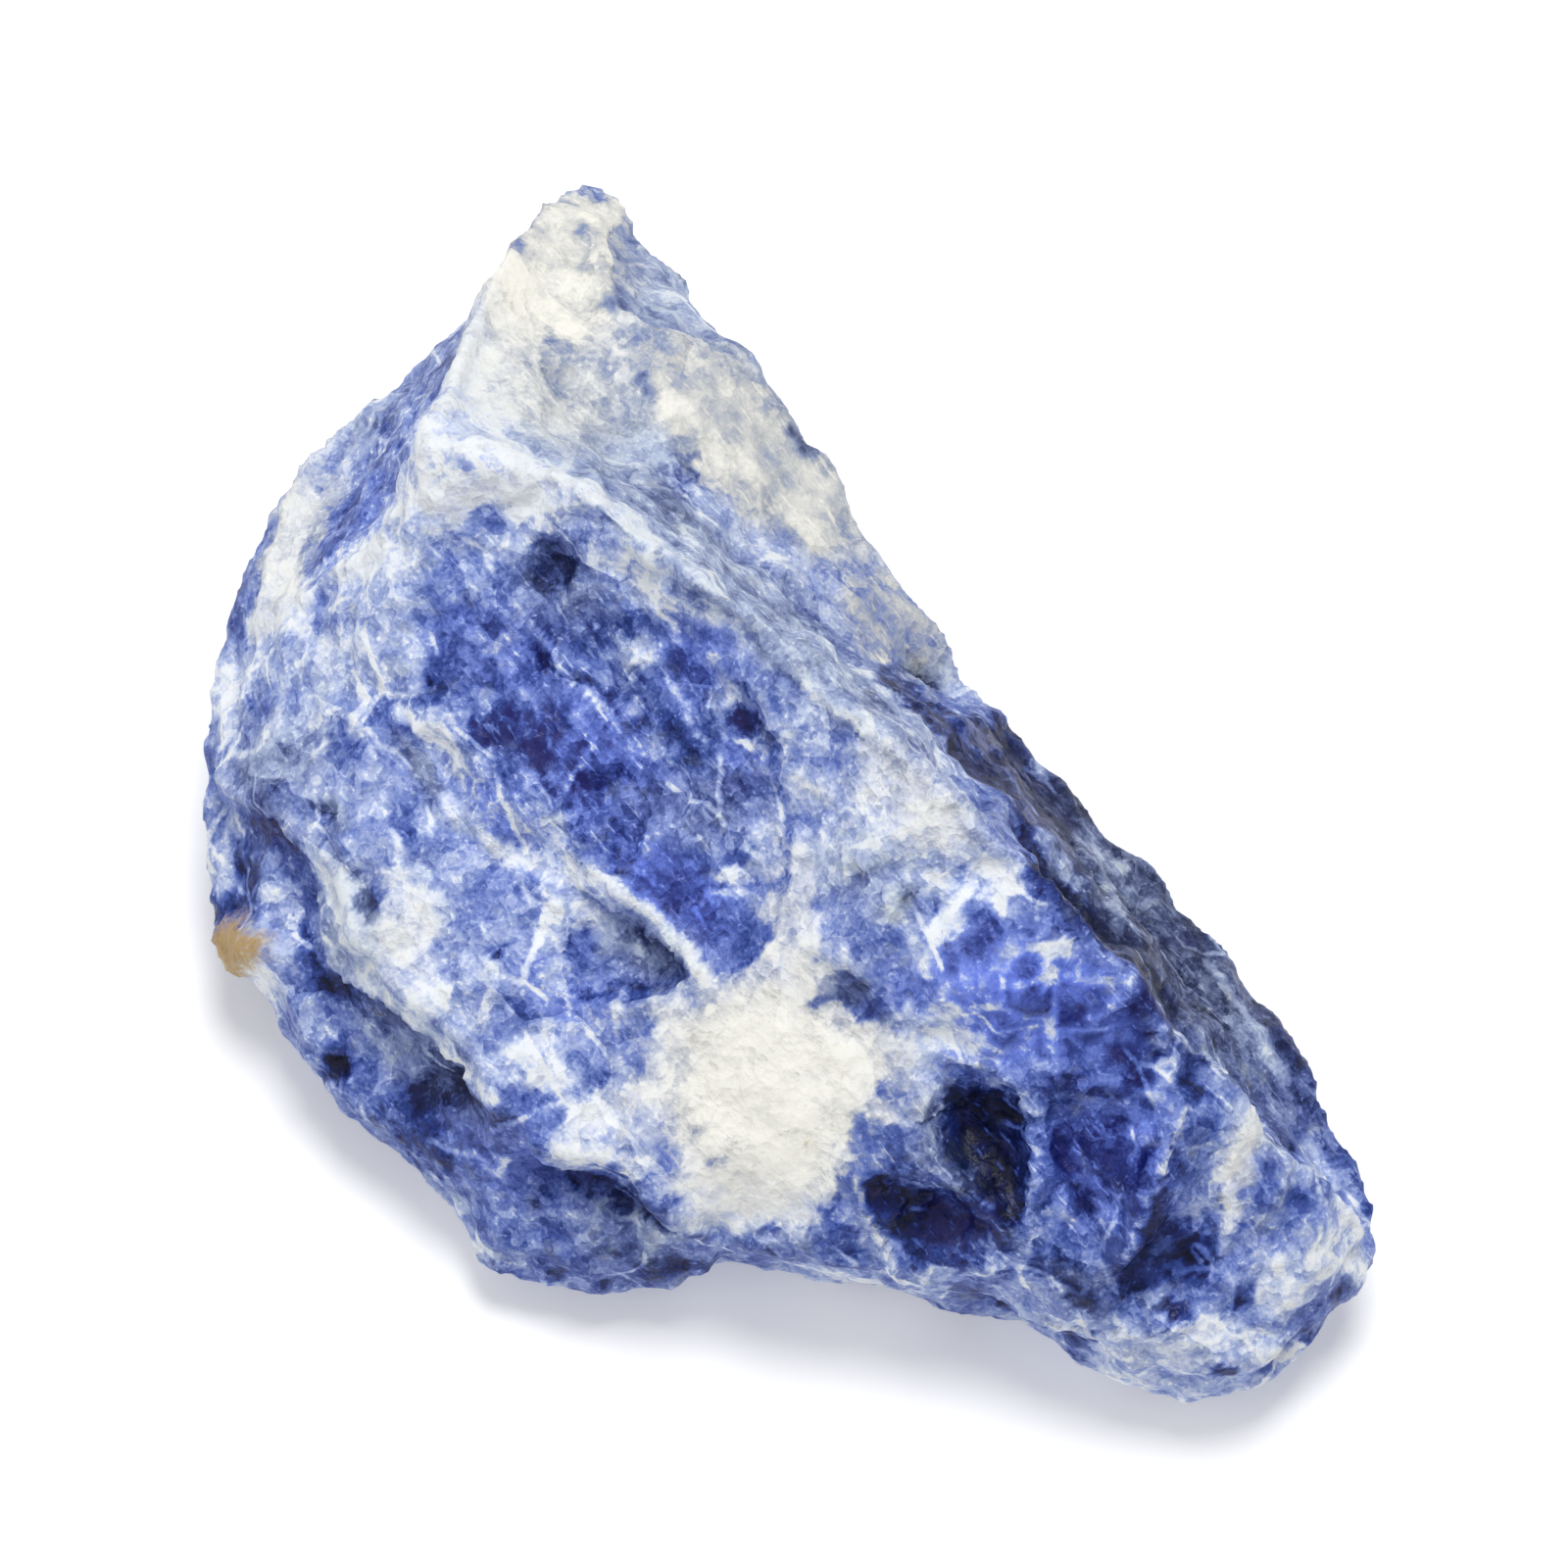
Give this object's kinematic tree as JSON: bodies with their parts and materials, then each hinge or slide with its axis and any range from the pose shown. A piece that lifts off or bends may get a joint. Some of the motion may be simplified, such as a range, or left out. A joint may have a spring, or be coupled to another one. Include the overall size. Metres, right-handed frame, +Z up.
{
  "type": "rough sodalite stone",
  "caption": "Rough broken piece of blue sodalite with white and cream veining, a narrow pale tip and a blunt end, lying on a small flat underneath.",
  "frame": {"origin": "on the table under the middle of the stone's box", "axes": "+Z up from the resting flat, +Y towards the narrow pale tip, +X towards the blunt end's side"},
  "size_m": [0.0538, 0.0568, 0.0247],
  "materials": {
    "sodalite": "fresh broken stone surface, mottled royal blue, navy and pale blue with white veins and cream patches, slightly glossy"
  },
  "bodies": {
    "root": {"rough_sodalite": "sodalite"}
  },
  "joints": []
}
